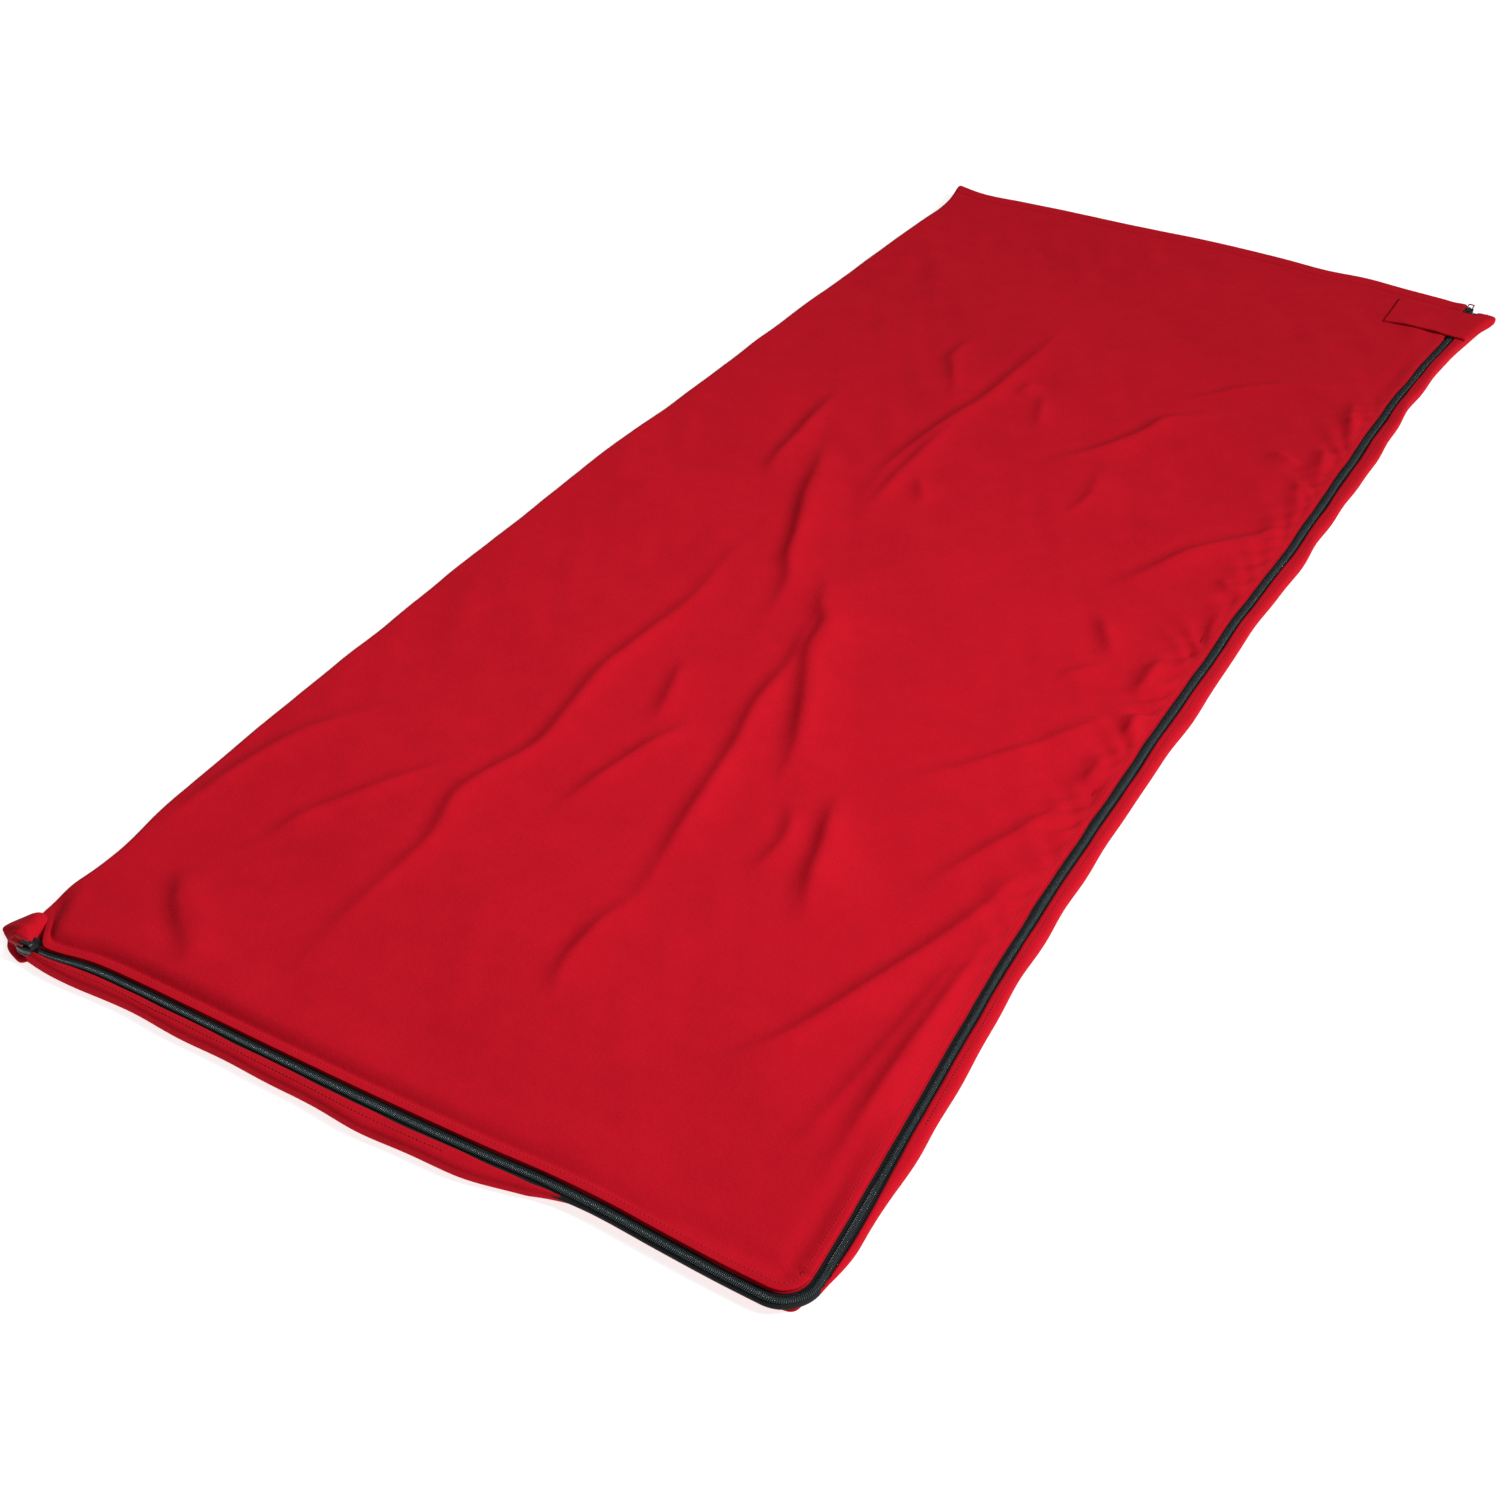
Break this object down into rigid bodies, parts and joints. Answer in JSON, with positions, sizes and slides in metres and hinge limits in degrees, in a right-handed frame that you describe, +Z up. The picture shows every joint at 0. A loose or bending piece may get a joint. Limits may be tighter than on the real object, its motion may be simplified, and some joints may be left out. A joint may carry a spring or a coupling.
{
  "type": "rectangular sleeping bag",
  "caption": "Thin rectangular fleece sleeping bag lying closed, with a two-slider coil zip along the foot and right side and a closure tab at its head end.",
  "frame": {"origin": "on the surface that the bag lies on, under the middle of its bounding box", "axes": "+Z up, +Y along the bag towards the open head end, +X towards the zipped long side"},
  "size_m": [0.765, 1.905, 0.02],
  "materials": {
    "fleece_red": "soft brushed fleece, matte",
    "zip_tape_black": "woven polyester tape, matte",
    "zip_coil_black": "moulded polyester monofilament, satin",
    "slider_metal": "black enamelled zinc, semi-gloss",
    "stop_plastic": "moulded black plastic, satin",
    "hook_loop_black": "hook and loop pile, matte"
  },
  "bodies": {
    "base": {"bottom_panel": "fleece_red", "bottom_head_hem": "fleece_red", "foot_border": "fleece_red", "corner_border": "fleece_red", "side_border": "fleece_red", "border_facing": "fleece_red", "left_fold": "fleece_red", "zip_tape_bottom": "zip_tape_black", "zip_coil_bottom": "zip_coil_black", "head_stop_bottom": "stop_plastic", "foot_stop_bottom": "stop_plastic", "tab_loop_patch": "hook_loop_black"},
    "cover": {"top_panel": "fleece_red", "top_head_hem": "fleece_red", "cover_facing": "fleece_red", "zip_tape_top": "zip_tape_black", "zip_coil_top": "zip_coil_black", "head_stop_top": "stop_plastic", "foot_stop_top": "stop_plastic", "tab_seam_tuck": "fleece_red"},
    "tab": {"closure_tab": "fleece_red", "tab_hook_patch": "hook_loop_black"},
    "head_slider": {"head_slider": "slider_metal"},
    "head_pull": {"head_slider_pull": "slider_metal"},
    "foot_slider": {"foot_slider": "slider_metal"},
    "foot_pull": {"foot_slider_pull": "slider_metal"}
  },
  "joints": [
    {"name": "cover_open", "type": "hinge", "parent": "base", "child": "cover", "pos_m": [-0.375, 0, 0.0108], "axis": [0, -1, 0], "range_deg": [0, 179.5], "deforming": ["left_fold", "zip_tape_top", "zip_coil_top"]},
    {"name": "tab_peel", "type": "hinge", "parent": "cover", "child": "tab", "pos_m": [0.279, 0.853, 0.0189], "axis": [0, -1, 0], "range_deg": [0, 180]},
    {"name": "head_slider_travel", "type": "slide", "parent": "base", "child": "head_slider", "axis": [0, -1, 0], "range_m": [0, 1.77], "deforming": ["zip_coil_bottom", "zip_coil_top"]},
    {"name": "head_pull_swing", "type": "hinge", "parent": "head_slider", "child": "head_pull", "pos_m": [0.3655, 0.9076, 0.01565], "axis": [1, 0, 0], "range_deg": [0, 155]},
    {"name": "foot_slider_travel", "type": "slide", "parent": "base", "child": "foot_slider", "axis": [1, 0, 0], "range_m": [0, 0.64], "deforming": ["zip_coil_bottom", "zip_coil_top"]},
    {"name": "foot_pull_swing", "type": "hinge", "parent": "foot_slider", "child": "foot_pull", "pos_m": [-0.3476, -0.9355, 0.01565], "axis": [0, 1, 0], "range_deg": [0, 175]}
  ]
}
